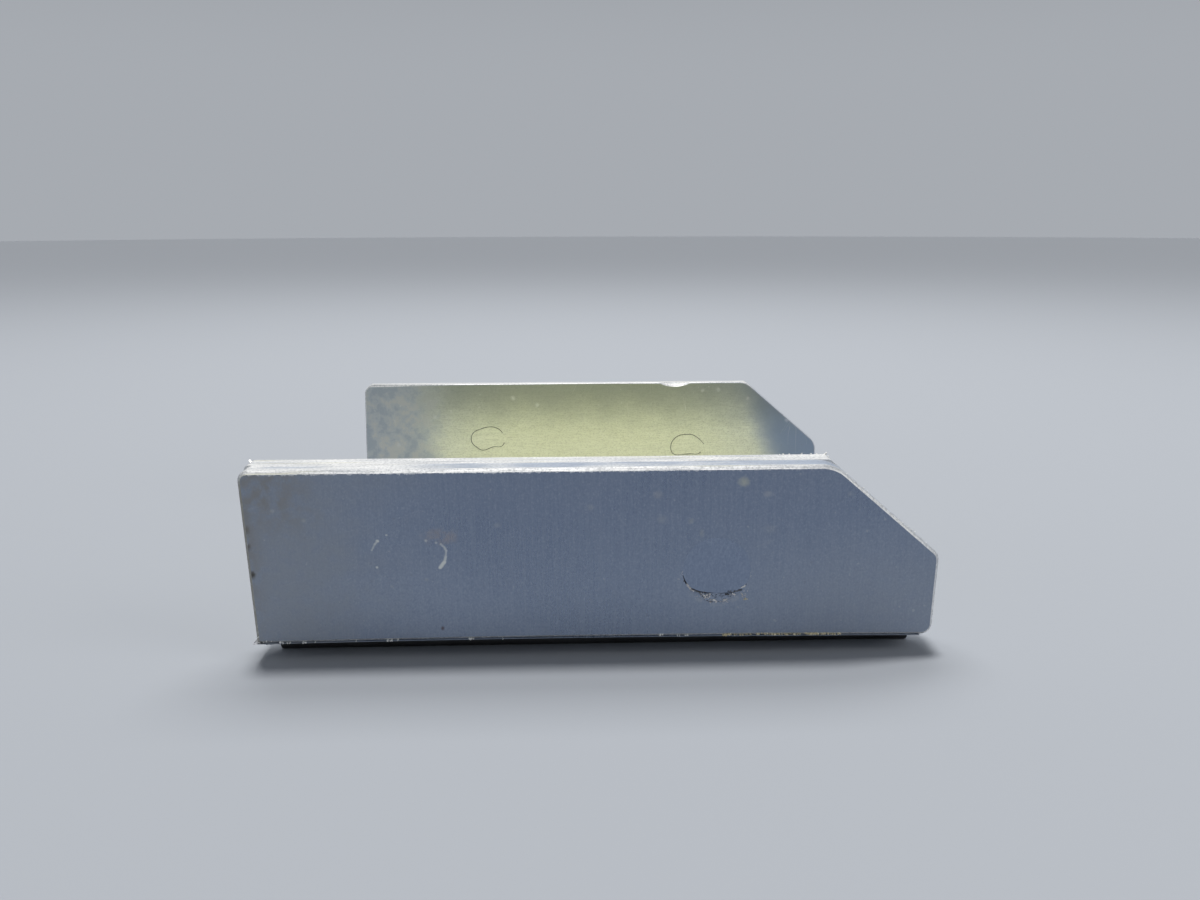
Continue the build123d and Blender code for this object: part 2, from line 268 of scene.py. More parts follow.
# ---- materials ----------------------------------------------------------
def plate_satin(name, front):
    """Outer face of a doubler plate: mill finish with a faint upright grain; its base tone is darkened and blued as a
    painted reflection of dark blue surroundings.
    """
    k = Kit(name)
    s = 0.0 if front else 41.0
    grain = k.noise((3.4, 1.0, 0.09), 3.0, 0.6, (s, 0, 0))
    thin = k.noise((9.0, 9.0, 2.5), 2.0, 0.6, (s, 5, 0))
    broad = k.noise((0.05, 0.05, 0.07), 2.0, 0.5, (s, 9, 0))
    cloud = k.noise((0.21, 0.21, 0.24), 5.0, 0.62, (s, 2, 3))
    mottle = k.noise((0.75, 0.75, 0.75), 4.0, 0.6, (s, 7, 1))

    # dark blue-grey base tones: grey metal darkened and blued, a painted reflection of dark blue surroundings
    col = k.mix(k.ramp(broad, 0.35, 0.65), (0.232, 0.282, 0.378), (0.268, 0.320, 0.416))
    if front:
        # darker and bluer still over the middle of the front face, towards its top: more of the painted reflection
        deep = k.mul(k.ramp(k.z, 4.0, 22.0), k.ramp(k.x, -34.0, -12.0), k.ramp(k.x, 46.0, 26.0, 0.5, 1.0))
        col = k.mix(k.mul(deep, 0.50), col, (0.172, 0.220, 0.322))
    even = k.noise((3.8, 3.8, 3.4), 3.0, 0.68, (s, 6, 4))
    col = k.mix(k.mul(k.ramp(even, 0.50, 0.36), 0.30), col, (0.165, 0.200, 0.285))
    col = k.mix(k.mul(k.ramp(even, 0.54, 0.68), 0.26), col, (0.42, 0.465, 0.54))
    col = k.mix(k.mul(k.ramp(grain, 0.35, 0.70), 0.14), col, (0.38, 0.425, 0.505))
    col = k.mix(k.mul(k.ramp(thin, 0.45, 0.75), 0.18), col, (0.43, 0.465, 0.535))
    rough = k.lerp(k.ramp(broad, 0.3, 0.7), 0.27, 0.34)
    rough = k.add(rough, k.mul(k.math("SUBTRACT", grain, 0.5), 0.09), k.mul(k.math("SUBTRACT", thin, 0.5), 0.08))

    # dull grey film over the left end, thinner at the lower right
    left = k.ramp(k.add(k.x, k.mul(k.math("SUBTRACT", cloud, 0.5), 22.0)), -20.0, -43.0)
    low = k.mul(k.ramp(k.x, 12.0, 40.0), k.ramp(k.z, 20.0, 6.0), 0.55)
    film = k.mul(k.most(left, low), k.ramp(mottle, 0.15, 0.65, 0.55, 1.0))
    col = k.mix(k.mul(film, 0.60), col, (0.335, 0.358, 0.385))
    rough = k.add(rough, k.mul(film, 0.13))

    # brownish stain in the top left corner and down the left end
    dz = k.ramp(k.z, 15.5, 22.5)
    corner = k.mul(k.ramp(k.add(k.x, k.mul(k.math("SUBTRACT", cloud, 0.5), 9.0)), -33.0, -42.5), dz)
    edge = k.mul(k.ramp(k.add(k.x, k.mul(k.math("SUBTRACT", mottle, 0.5), 3.0)), -41.6, -44.4),
                 k.ramp(k.z, 3.0, 16.0, 0.35, 1.0))
    brown = k.mul(k.most(corner, edge), k.ramp(mottle, 0.38, 0.62))
    col = k.mix(k.mul(brown, 0.46 if front else 0.25), col, (0.285, 0.262, 0.225))
    rough = k.add(rough, k.mul(brown, 0.10))

    # fine handling scratches
    s1 = k.scratches(18.0, 0.05, 0.90, 0.006, 0.53, (1 + s, 0, 4))
    s2 = k.scratches(-52.0, 0.06, 0.70, 0.005, 0.55, (7 + s, 0, 2))
    s3 = k.scratches(84.0, 0.04, 1.10, 0.006, 0.54, (3 + s, 0, 9))
    lines = k.mul(k.most(s1, s2, k.mul(s3, 0.3)), 0.7 if front else 0.2)
    col = k.mix(k.mul(lines, 0.13), col, (0.55, 0.58, 0.63))
    rough = k.add(rough, k.mul(lines, 0.06))

    # tiny pale and dark specks all over
    speck = k.noise((1.15, 1.15, 1.15), 1.0, 0.5, (11 + s, 0, 3))
    pale = k.mul(k.ramp(speck, 0.735, 0.775), 0.22)
    dark = k.mul(k.ramp(speck, 0.265, 0.235), 0.25)
    col = k.mix(pale, col, (0.60, 0.61, 0.60))
    col = k.mix(dark, col, (0.20, 0.21, 0.24))

    if front:
        for x, z, rx, rz, c, a in (
                (19.08, 23.74, 0.55, 0.50, (0.62, 0.62, 0.50), 1.00),
                (22.23, 22.11, 0.48, 0.38, (0.62, 0.62, 0.62), 0.50),
                (8.07, 22.15, 0.50, 0.42, (0.58, 0.57, 0.56), 0.42),
                (8.60, 18.90, 0.55, 0.45, (0.60, 0.62, 0.60), 0.30),
                (12.40, 18.60, 0.34, 0.30, (0.62, 0.62, 0.52), 0.35),
                (13.80, 16.90, 0.30, 0.42, (0.62, 0.62, 0.54), 0.30),
                (22.80, 17.40, 0.60, 0.45, (0.60, 0.62, 0.64), 0.28),
                (32.90, 22.00, 0.34, 0.30, (0.58, 0.60, 0.62), 0.35),
                (-12.60, 18.40, 0.40, 0.26, (0.60, 0.62, 0.62), 0.30),
                (-0.60, 20.60, 0.36, 0.36, (0.60, 0.62, 0.60), 0.30),
                (-20.04, 4.32, 0.20, 0.24, (0.14, 0.10, 0.11), 0.90),
                (-44.10, 12.07, 0.27, 0.42, (0.10, 0.095, 0.085), 0.92),
                (-44.35, 15.80, 0.28, 0.40, (0.16, 0.14, 0.12), 0.75),
                (-44.40, 18.10, 0.30, 0.50, (0.22, 0.20, 0.16), 0.60),
                (-40.90, 20.60, 0.25, 0.20, (0.68, 0.68, 0.66), 0.45),
                (-37.10, 19.30, 0.22, 0.20, (0.68, 0.68, 0.64), 0.40),
                (-26.40, 10.20, 0.22, 0.20, (0.62, 0.63, 0.62), 0.35),
                (-21.90, 11.10, 0.24, 0.20, (0.62, 0.62, 0.58), 0.35)):
            m = k.spot(x, z, rx, rz, 0.85, 0.35)
            col = k.mix(k.mul(m, a if c[0] < 0.3 else a * 0.54), col, c)
            rough = k.add(rough, k.mul(m, 0.12))
        # rubbed patch with a brownish smear beside the left rivet end
        smear = k.mul(k.spot(-19.9, 16.9, 1.9, 0.95, 0.6, 0.35, 1.2), k.ramp(mottle, 0.35, 0.6))
        col = k.mix(k.mul(smear, 0.45), col, (0.38, 0.33, 0.31))
        # bright strokes where the left rivet's rim was dragged over
        arc = k.most(
            k.mul(k.stroke(-19.86, 15.92, -19.42, 15.46, 0.12), 0.45),
            k.mul(k.stroke(-19.42, 15.46, -19.20, 15.01, 0.15), 0.62),
            k.mul(k.stroke(-19.20, 15.01, -19.31, 14.16, 0.13), 0.50),
            k.mul(k.stroke(-19.31, 14.16, -19.50, 13.48, 0.17), 0.75),
            k.stroke(-19.50, 13.48, -20.04, 12.75, 0.22),
            k.mul(k.spot(-27.92, 16.45, 0.20, 0.17), 0.85),
            k.mul(k.stroke(-27.98, 16.38, -28.32, 15.98, 0.13), 0.55),
            k.mul(k.stroke(-28.32, 15.98, -28.70, 15.20, 0.11), 0.42),
            k.mul(k.spot(-28.17, 12.87, 0.16, 0.16), 0.80),
            k.mul(k.spot(-26.74, 17.22, 0.16, 0.14), 0.55),
            k.mul(k.spot(-21.76, 16.40, 0.15, 0.15), 0.50),
            k.mul(k.spot(-20.44, 16.10, 0.14, 0.14), 0.45))
        col = k.mix(k.mul(arc, 0.90), col, (0.80, 0.82, 0.79))
        rough = k.add(rough, k.mul(arc, 0.22))
        # worn zone round the right rivet's open crescent
        cx, cz = RIVETS["rivet_front_right"]
        worn = k.mul(k.ring(cx, cz, 4.7, 0.55, 225.0, 330.0, 14.0), k.ramp(mottle, 0.44, 0.60))
        col = k.mix(k.mul(worn, 0.22), col, (0.52, 0.53, 0.52))
        # the filed top edge breaks into the face in small bright nicks
        nick = k.noise((2.1, 0.6, 0.8), 3.0, 0.65, (12, 0, 2))
        lip = k.add(k.z, k.mul(k.math("SUBTRACT", nick, 0.5), 0.95))
        teeth = k.mul(k.ramp(lip, 25.25, 25.40), k.ramp(k.x, 22.0, -8.0, 0.30, 0.85), k.ramp(k.x, 30.5, 29.0))
        col = k.mix(teeth, col, (0.80, 0.82, 0.84))
        rough = k.add(rough, k.mul(teeth, 0.25))

    # darker along the sheared lower edge, following its bow
    bow = k.add(k.x, 6.3)
    over = k.add(k.z, k.mul(bow, bow, 0.00016), k.mul(k.math("SUBTRACT", mottle, 0.5), 0.8))
    foot = k.mul(k.ramp(over, 3.20, 2.75), 0.14)
    col = k.mix(foot, col, (0.20, 0.195, 0.18))

    h = k.add(k.mul(grain, 0.24), k.mul(thin, 0.20), k.mul(lines, -0.08), k.mul(mottle, 0.25))
    n = k.bump(h, 0.006, 0.9)
    n = k.bump(k.add(broad, k.mul(cloud, 0.25)), 0.16, 0.8, n)
    metal = k.math("SUBTRACT", 1.0, k.add(k.mul(film, 0.16), k.mul(brown, 0.30)), clamp=True)
    return k.done(col, rough, n, metal)


def seam(k, at, width=0.075):
    """Mask of the dark joint line between a flange and its plate."""
    wob = k.mul(k.math("SUBTRACT", k.noise((0.8, 0.2, 0.2), 3.0, 0.6, (5, 0, 0)), 0.5), 0.10)
    d = k.math("ABSOLUTE", k.math("SUBTRACT", k.add(k.math("ABSOLUTE", k.y), wob), at))
    gap = k.ramp(k.noise((0.11, 0.1, 0.1), 2.0, 0.5, (2, 6, 0)), 0.38, 0.55, 0.45, 1.0)
    return k.mul(k.ramp(d, width, width * 0.25), gap)


def cut_edge(name, smooth_band):
    """Sheared and filed edge: streaks along the sheet, bright where rubbed."""
    k = Kit(name)
    # streaks follow the edge: long along X and Z, short across the thickness
    streak = k.noise((0.08, 2.6, 0.08), 4.0, 0.60)
    hair = k.noise((0.16, 9.0, 0.16), 3.0, 0.6, (4, 0, 1))
    chatter = k.noise((1.9, 1.1, 1.9), 3.0, 0.6, (8, 2, 0))
    patch = k.noise((0.10, 0.30, 0.16), 3.0, 0.55, (1, 5, 2))
    col = k.mix(k.ramp(streak, 0.34, 0.60), (0.62, 0.64, 0.665), (0.90, 0.90, 0.89))
    col = k.mix(k.mul(k.ramp(hair, 0.50, 0.34), 0.55), col, (0.46, 0.485, 0.52))
    grain = k.noise((2.6, 3.4, 2.6), 3.0, 0.7, (2, 9, 5))
    col = k.mix(k.mul(k.ramp(grain, 0.52, 0.38), 0.60), col, (0.42, 0.44, 0.46))
    col = k.mix(k.mul(k.ramp(grain, 0.56, 0.66), 0.60), col, (0.98, 0.98, 0.97))
    # a few long, faint, yellowish marks
    warm = k.mul(k.ramp(k.noise((0.05, 2.2, 0.05), 3.0, 0.6, (6, 1, 1)), 0.56, 0.66), 0.55)
    col = k.mix(warm, col, (0.56, 0.555, 0.42))
    rough = k.lerp(k.ramp(streak, 0.3, 0.7), 0.42, 0.60)
    rough = k.add(rough, k.mul(k.math("SUBTRACT", chatter, 0.5), 0.12))
    depth = k.math("ABSOLUTE", k.y)
    if smooth_band:
        # left as sheared along most of the plate's top: a smoother, darker band; its blue-grey colour is a painted
        # reflection of a blue backdrop
        wob = k.mul(k.math("SUBTRACT", k.noise((0.07, 0.1, 0.1), 3.0, 0.6, (3, 3, 3)), 0.5), 0.9)
        at = k.add(depth, wob)
        band = k.mul(k.ramp(at, 32.50, 32.85), k.ramp(at, 35.20, 34.90), k.ramp(k.x, -27.0, -17.0))
        band = k.mul(band, k.ramp(patch, 0.36, 0.56, 0.45, 1.0))
        # at the left end only a faint dim streak runs down its middle, the same painted reflection
        start = k.mul(k.ramp(k.math("ABSOLUTE", k.math("SUBTRACT", at, 33.8)), 0.75, 0.25),
                      k.ramp(k.math("ABSOLUTE", k.add(k.x, 38.5)), 5.0, 2.5), 0.55)
        band = k.most(band, start)
        band = k.mul(band, k.ramp(hair, 0.62, 0.46, 0.55, 1.0))
        col = k.mix(k.mul(band, 0.90), col, (0.33, 0.40, 0.52))
        rough = k.lerp(k.mul(band, 0.8), rough, 0.38)
        # duller, brownish edge down the left end
        stained = k.mul(k.ramp(k.x, -43.55, -43.95), k.ramp(k.z, 25.0, 24.0),
                        k.ramp(k.noise((0.9, 0.9, 0.9), 3.0, 0.6, (7, 7, 0)), 0.30, 0.50, 0.5, 1.0))
        col = k.mix(k.mul(stained, 0.85), col, (0.25, 0.24, 0.205))
    else:
        clip = k.mul(k.ramp(k.x, 31.3, 33.0), k.ramp(k.z, 25.6, 24.8))
        col = k.mix(k.mul(clip, 0.65), col, (0.40, 0.45, 0.53))
    # dirt lodged in the deeper marks
    pit = k.ramp(k.noise((0.55, 2.6, 0.55), 4.0, 0.7, (9, 1, 4)), 0.335, 0.285)
    col = k.mix(k.mul(pit, 0.35), col, (0.25, 0.24, 0.22))
    line = seam(k, Y_MID)
    col = k.mix(k.mul(line, k.ramp(k.x, -30.0, 10.0, 0.22, 0.50)), col, (0.16, 0.17, 0.19))
    rough = k.lerp(line, rough, 0.75)
    h = k.add(k.mul(streak, 0.55), k.mul(hair, 0.30), k.mul(chatter, 0.22), k.mul(line, -0.8), k.mul(pit, -0.3))
    if smooth_band:
        h = k.mul(h, k.lerp(band, 1.0, 0.35))
    return k.done(col, rough, k.bump(h, 0.085, 1.0), 0.42)


def brushed(name, rear, lines_across="z"):
    """Inner faces of the channel: brushed along its length, with a straw tint that is partly the metal's own and
    partly a painted reflection.
    """
    k = Kit(name)
    s = 0.0 if rear else 23.0
    if lines_across == "z":
        a, b, c = (0.42, 0.6, 5.5), (1.1, 1.0, 11.0), (1.8, 0.5, 3.6)
    else:
        a, b, c = (0.42, 5.5, 0.6), (1.1, 11.0, 1.0), (1.8, 3.6, 0.5)
    brush = k.noise(a, 4.0, 0.6, (s, 0, 0))
    hair = k.noise(b, 3.0, 0.65, (s, 4, 0))
    tooth = k.noise(c, 3.0, 0.6, (s, 1, 6))
    cloud = k.noise((0.20, 0.20, 0.22), 4.0, 0.6, (s, 8, 1))
    mottle = k.noise((0.42, 0.42, 0.42), 5.0, 0.62, (s, 3, 7))
    col = k.mix(k.ramp(brush, 0.3, 0.7), (0.80, 0.815, 0.645), (0.925, 0.945, 0.765))
    col = k.mix(k.mul(k.ramp(hair, 0.45, 0.72), 0.35), col, (0.96, 0.96, 0.85))
    col = k.mix(k.mul(k.ramp(tooth, 0.58, 0.72), 0.32), col, (0.58, 0.58, 0.49))
    rough = k.lerp(k.ramp(brush, 0.3, 0.7), 0.30, 0.40)
    rough = k.add(rough, k.mul(k.math("SUBTRACT", tooth, 0.5), 0.10))
    fine = k.noise((3.4, 1.0, 5.2) if lines_across == "z" else (3.4, 5.2, 1.0), 3.0, 0.7, (s, 2, 2))
    col = k.mix(k.mul(k.ramp(fine, 0.50, 0.36), 0.42), col, (0.50, 0.51, 0.41))
    col = k.mix(k.mul(k.ramp(fine, 0.55, 0.66), 0.45), col, (0.99, 1.00, 0.86))
    # the tint fades out towards both ends into a blue-grey: bare grey metal, blued as a painted reflection of blue
    # surroundings
    edge_l = k.ramp(k.add(k.x, k.mul(k.math("SUBTRACT", cloud, 0.5), 9.0)), -25.5, -34.5)
    edge_r = k.ramp(k.add(k.x, k.mul(k.math("SUBTRACT", cloud, 0.5), 4.0), k.mul(k.z, 0.30)), 35.5, 43.5)
    bare_and_painted_reflection = k.most(edge_l, edge_r)
    plain = lines_across == "y"
    col = k.mix(k.mul(bare_and_painted_reflection, 0.60 if plain else 0.86), col, (0.60, 0.63, 0.66) if plain else (0.53, 0.570, 0.62))
    if not plain:
        # the right end of the walls goes dark blue: painted reflection of dark blue surroundings
        col = k.mix(k.mul(edge_r, 0.85), col, (0.262, 0.335, 0.445))
    # grey stained patch over the left end, blotchy
    blot = k.mul(edge_l, k.ramp(mottle, 0.50, 0.40))
    col = k.mix(k.mul(blot, 0.10 if plain else 0.46), col, (0.38, 0.445, 0.525))
    pale = k.mul(edge_l, k.ramp(mottle, 0.50, 0.60))
    col = k.mix(k.mul(pale, 0.12 if plain else 0.60), col, (0.70, 0.69, 0.64))
    rough = k.add(rough, k.mul(edge_l, 0.12), 0.26 if plain else 0.0)
    # darker over its upper half: painted shade standing in for the dimmer reflection of the opposite wall
    if not plain:
        top = k.mul(k.ramp(k.add(k.z, k.mul(k.math("SUBTRACT", cloud, 0.5), 5.0)), 14.5, 25.0), 0.70)
        top = k.mul(top, k.math("SUBTRACT", 1.0, k.mul(edge_l, 0.85), clamp=True))
        col = k.mix(top, col, (0.295, 0.318, 0.300))
    # specks
    speck = k.noise((0.95, 0.95, 0.95), 1.0, 0.5, (4 + s, 0, 3))
    col = k.mix(k.mul(k.ramp(speck, 0.735, 0.775), 0.30), col, (0.85, 0.85, 0.80))
    col = k.mix(k.mul(k.ramp(speck, 0.265, 0.235), 0.22), col, (0.30, 0.30, 0.28))
    if rear and lines_across == "z":
        for x, z, r, cc, am in ((-13.96, 23.05, 0.36, (0.95, 0.95, 0.92), 0.8),
                                (-9.38, 21.64, 0.34, (0.92, 0.93, 0.92), 0.7),
                                (-29.0, 19.4, 0.30, (0.85, 0.86, 0.84), 0.6),
                                (-36.2, 14.0, 0.34, (0.80, 0.82, 0.84), 0.6),
                                (22.6, 24.2, 0.30, (0.9, 0.9, 0.88), 0.6),
                                (25.6, 24.4, 0.38, (0.9, 0.9, 0.88), 0.5),
                                (31.4, 22.6, 0.30, (0.82, 0.80, 0.74), 0.6),
                                (39.2, 18.3, 0.34, (0.85, 0.86, 0.88), 0.6)):
            col = k.mix(k.mul(k.spot(x, z, r, None, 0.8, 0.4), am * 0.65), col, cc)
    scr = k.most(k.scratches(96.0, 0.05, 0.8, 0.006, 0.55, (2 + s, 0, 4)),
                 k.scratches(60.0, 0.06, 0.7, 0.005, 0.56, (5 + s, 0, 1)))
    col = k.mix(k.mul(scr, 0.35), col, (0.88, 0.88, 0.84))
    h = k.add(k.mul(brush, 0.55), k.mul(hair, 0.45), k.mul(tooth, 0.25), k.mul(scr, -0.4))
    n = k.bump(h, 0.003, 1.0)
    n = k.bump(cloud, 0.03, 0.6, n)
    if plain:
        col = k.mix(0.16, col, (0.0, 0.0, 0.0))
        rough = k.add(rough, 0.06)
    metal = k.math("SUBTRACT", 0.32 if plain else 1.0, k.mul(edge_l, 0.16), clamp=True)
    return k.done(col, rough, n, metal)


def under(name, tone):
    """Underside and lower strip of the flanges: scuffed, with grime; at a low tone the strip is painted dark as
    painted shade under the plates' edge.
    """
    k = Kit(name)
    cloud = k.noise((0.16, 0.16, 0.16), 5.0, 0.62)
    rub = k.noise((0.25, 3.2, 1.0), 4.0, 0.65, (2, 0, 5))
    grit = k.noise((4.0, 4.0, 4.0), 3.0, 0.7, (5, 5, 0))
    col = k.mix(k.ramp(cloud, 0.35, 0.65), tuple(tone * v for v in (0.46, 0.47, 0.48)), tuple(tone * v for v in (0.62, 0.63, 0.63)))
    col = k.mix(k.mul(k.ramp(rub, 0.5, 0.7), 0.5), col, tuple(tone * v for v in (0.74, 0.75, 0.75)))
    col = k.mix(k.mul(k.ramp(grit, 0.58, 0.7), 0.35), col, tuple(tone * v for v in (0.24, 0.23, 0.21)))
    if tone < 1.0:
        # only the foot is darkened, painted shade with some grime: higher up the sheet is plain
        col = k.mix(k.ramp(k.z, 6.0, 10.0), col, (0.80, 0.81, 0.82))
    rough = k.lerp(k.ramp(rub, 0.3, 0.7), 0.42, 0.60)
    h = k.add(k.mul(rub, 0.6), k.mul(grit, 0.3))
    return k.done(col, rough, k.bump(h, 0.03, 0.9), 0.7)


def recess(name, low, high):
    """Gap round a rivet end, dark with dirt and with painted shade for its depth."""
    k = Kit(name, 0.55)
    grit = k.noise((3.0, 3.0, 3.0), 3.0, 0.7)
    col = k.mix(k.ramp(grit, 0.4, 0.62), low, high)
    return k.done(col, k.lerp(grit, 0.55, 0.85), k.bump(grit, 0.04, 0.8))


def rivet_end(name, outer):
    """Rivet ends: dressed flush with the sheet round them."""
    k = Kit(name)
    if outer:
        grain = k.noise((4.4, 1.0, 1.6), 3.0, 0.6, (6, 2, 0))
        cloud = k.noise((0.35, 0.35, 0.35), 3.0, 0.6)
        # same dark blue-grey as the plates: painted reflection of dark blue surroundings over a grey metal tone
        col = k.mix(k.ramp(grain, 0.35, 0.7), (0.224, 0.276, 0.380), (0.258, 0.313, 0.418))
        even = k.noise((3.8, 3.8, 3.4), 3.0, 0.68, (9, 6, 4))
        col = k.mix(k.mul(k.ramp(even, 0.50, 0.36), 0.26), col, (0.165, 0.200, 0.285))
        col = k.mix(k.mul(k.ramp(even, 0.54, 0.68), 0.20), col, (0.42, 0.465, 0.54))
        rough = k.lerp(cloud, 0.25, 0.32)
        h = k.add(k.mul(grain, 0.4), k.mul(cloud, 0.3))
        n = k.bump(h, 0.006, 0.9)
    else:
        grain = k.noise((0.3, 1.0, 7.0), 4.0, 0.6, (6, 2, 0))
        cloud = k.noise((0.30, 0.30, 0.30), 3.0, 0.6)
        fine = k.noise((3.4, 1.0, 5.2), 3.0, 0.7, (3, 2, 2))
        # straw tint as on the inner faces: partly the metal's own, partly a painted reflection
        col = k.mix(k.ramp(grain, 0.3, 0.7), (0.80, 0.815, 0.655), (0.93, 0.945, 0.775))
        col = k.mix(k.mul(k.ramp(fine, 0.50, 0.36), 0.38), col, (0.50, 0.51, 0.41))
        col = k.mix(k.mul(k.ramp(fine, 0.55, 0.66), 0.40), col, (0.99, 1.00, 0.86))
        rough = k.lerp(grain, 0.28, 0.38)
        h = k.add(k.mul(grain, 0.6), k.mul(cloud, 0.3))
        n = k.bump(h, 0.012, 0.9)
    return k.done(col, rough, n)


def raw_metal(name, tone, low, high, metallic=0.35):
    """Torn, bright metal of burrs and flecks; with dark colours it makes chips of painted shade."""
    k = Kit(name, metallic)
    bit = k.noise((3.0, 3.0, 3.0), 3.0, 0.6)
    col = k.mix(k.ramp(bit, 0.35, 0.65), low, high)
    return k.done(col, k.lerp(bit, 0.25 + tone, 0.5 + tone), k.bump(bit, 0.03, 0.8))


MATS = {
    "plate_front": plate_satin("plate_front", True),
    "plate_rear": plate_satin("plate_rear", False),
    "plate_edge": cut_edge("plate_edge", True),
    "flange_edge": cut_edge("flange_edge", False),
    "inner_rear": brushed("inner_rear", True),
    "inner_front": brushed("inner_front", False),
    "web_top": brushed("web_top", False, "y"),
    "underside": under("underside", 1.0),
    # outer strip of the flanges below the plates: painted nearly black, painted shade for the gap under the plates'
    # edge, with some grime
    "foot_grime_and_shade": under("foot_grime_and_shade", 0.10),
    "recess": recess("recess", (0.06, 0.065, 0.08), (0.20, 0.21, 0.23)),
    "recess_inner": recess("recess_inner", (0.17, 0.17, 0.12), (0.42, 0.42, 0.32)),
    "rivet_head": rivet_end("rivet_head", True),
    "rivet_tail": rivet_end("rivet_tail", False),
    "burr": raw_metal("burr", 0.1, (0.80, 0.80, 0.78), (0.98, 0.98, 0.95)),
    "burr_warm": raw_metal("burr_warm", 0.1, (0.66, 0.58, 0.38), (0.97, 0.90, 0.68)),
    "burr_dull": raw_metal("burr_dull", 0.1, (0.50, 0.50, 0.52), (0.80, 0.78, 0.77), 0.4),
    "chip_painted_shade": raw_metal("chip_painted_shade", 0.2, (0.06, 0.065, 0.08), (0.19, 0.19, 0.20)),
    "plate_foot": raw_metal("plate_foot", 0.08, (0.34, 0.35, 0.36), (0.66, 0.67, 0.66), 0.8),
}


# ---- finish of each CAD face, by where it lies and which way it faces ----
def near_rivet(c, radius):
    for name, (x, z) in RIVETS.items():
        if ("front" in name) == (c.y < 0) and math.hypot(c.x - x, c.z - z) < radius:
            return True
    return False


def pick(node, c, n):
    """Name of the finish for a face with middle c (mm) and normal n."""
    ay, side = abs(c.y), "front" if c.y < 0 else "rear"
    flat_y = abs(n.y) > 0.985
    if node.startswith("rivet"):
        if flat_y and ay > Y_OUT - 0.01:
            return {"rivet_front_left": "plate_front", "rivet_front_right": "rivet_head"}.get(node, "plate_rear")
        if flat_y and ay < Y_IN + 0.01:
            return "rivet_tail"
        return "recess" if ay > Y_MID else "recess_inner"
    if node.startswith("side_plate"):
        if flat_y:
            return "plate_front" if side == "front" else "plate_rear"
        if near_rivet(c, HEAD_R + 0.02):
            return "recess"
        return "plate_edge"
    # the channel
    if near_rivet(c, 3.6) and not flat_y:
        return "recess_inner"
    if flat_y and ay < Y_IN + 0.01:
        return "inner_" + side
    if flat_y and ay > Y_MID - 0.01:
        return "foot_grime_and_shade"
    if c.z < 3.3 and n.z > 0.9:
        return "web_top"
    if c.z < 4.4 and ay < Y_IN and n.z > 0.05:
        return "inner_" + side
    if c.z < 0.02 and n.z < -0.9:
        return "underside"
    if c.z < 1.2 and abs(n.x) < 0.5 and (n.z < -0.05 or ay > Y_MID - 1.1):
        return "foot_grime_and_shade"
    return "flange_edge"


for node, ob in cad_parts.items():
    me = ob.data
    me.materials.clear()
    used = []
    for poly in me.polygons:
        want = pick(node, poly.center * 1000.0, poly.normal)
        if want not in used:
            used.append(want)
            me.materials.append(MATS[want])
        poly.material_index = used.index(want)


# ---- loose metal: burrs, shards and flecks ------------------------------
def new_piece(name, bm, mat, smooth=False):
    me = bpy.data.meshes.new(name)
    bmesh.ops.recalc_face_normals(bm, faces=bm.faces[:])
    for v in bm.verts:
        v.co *= MM
    bm.to_mesh(me)
    bm.free()
    for p in me.polygons:
        p.use_smooth = smooth
    me.materials.append(MATS[mat])
    ob = bpy.data.objects.new(name, me)
    scene.collection.objects.link(ob)
    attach(ob, "root")
    return ob


def sweep(bm, rows):
    """Closed tube through rows of points, each row a ring of the same count."""
    rings = [[bm.verts.new(p) for p in row] for row in rows]
    n = len(rings[0])
    for a, b in zip(rings, rings[1:]):
        for i in range(n):
            bm.faces.new((a[i], a[(i + 1) % n], b[(i + 1) % n], b[i]))
    bm.faces.new(rings[0][::-1])
    bm.faces.new(rings[-1])


def foot_burr(name, side, x0, x1, peaks, base, seed):
    """Ragged lip left by the shear along a plate's lower outer edge."""
    s = -1.0 if side == "front" else 1.0
    rng = random.Random(seed)
    bm = bmesh.new()
    rows, x = [], x0
    while x < x1:
        h = base * (0.4 + 1.3 * abs(noise.noise(Vector((x * 0.9, seed, 0.3)))))
        for a, b, amount in peaks:
            if a <= x <= b:
                edge = min(x - a, b - x)
                h += amount * min(1.0, edge / 0.5) * (0.35 + rng.random() * 0.9)
        out = 0.015 + 0.20 * h
        foot = foot_z(x)
        rows.append([
            (x, s * (Y_OUT - 0.37), foot + 0.11),
            (x, s * (Y_OUT - 0.01), foot + 0.05),
            (x, s * (Y_OUT + out * 0.30), foot - 0.25 * h),
            (x + rng.uniform(-0.03, 0.03), s * (Y_OUT - 0.02 + out * 0.4), foot - h),
            (x, s * (Y_OUT - 0.11), foot - 0.35 * h),
        ])
        x += rng.uniform(0.10, 0.17)
    sweep(bm, rows)
    return new_piece(name, bm, "plate_" + side)


def shard(bm, a, b, width, thick, bow=(0, 0, 0), turns=5, taper=0.82):
    """A tapering, bent sliver of metal from a to b."""
    a, b, bow = Vector(a), Vector(b), Vector(bow)
    d = (b - a).normalized()
    side = d.cross(Vector((0, 1, 0)))
    if side.length < 0.2:
        side = d.cross(Vector((0, 0, 1)))
    side.normalize()
    up = d.cross(side).normalized()
    rows = []
    for i in range(turns + 1):
        t = i / turns
        c = a.lerp(b, t) + bow * math.sin(math.pi * t)
        w = width * (1.0 - taper * t) * (1.0 + 0.25 * noise.noise(c * 3.0))
        h = thick * (1.0 - 0.70 * t)
        rows.append([tuple(c + side * w * u + up * h * v)
                     for u, v in ((-0.5, -0.3), (0.0, -0.55), (0.5, -0.25), (0.35, 0.4), (-0.3, 0.5))])
    sweep(bm, rows)


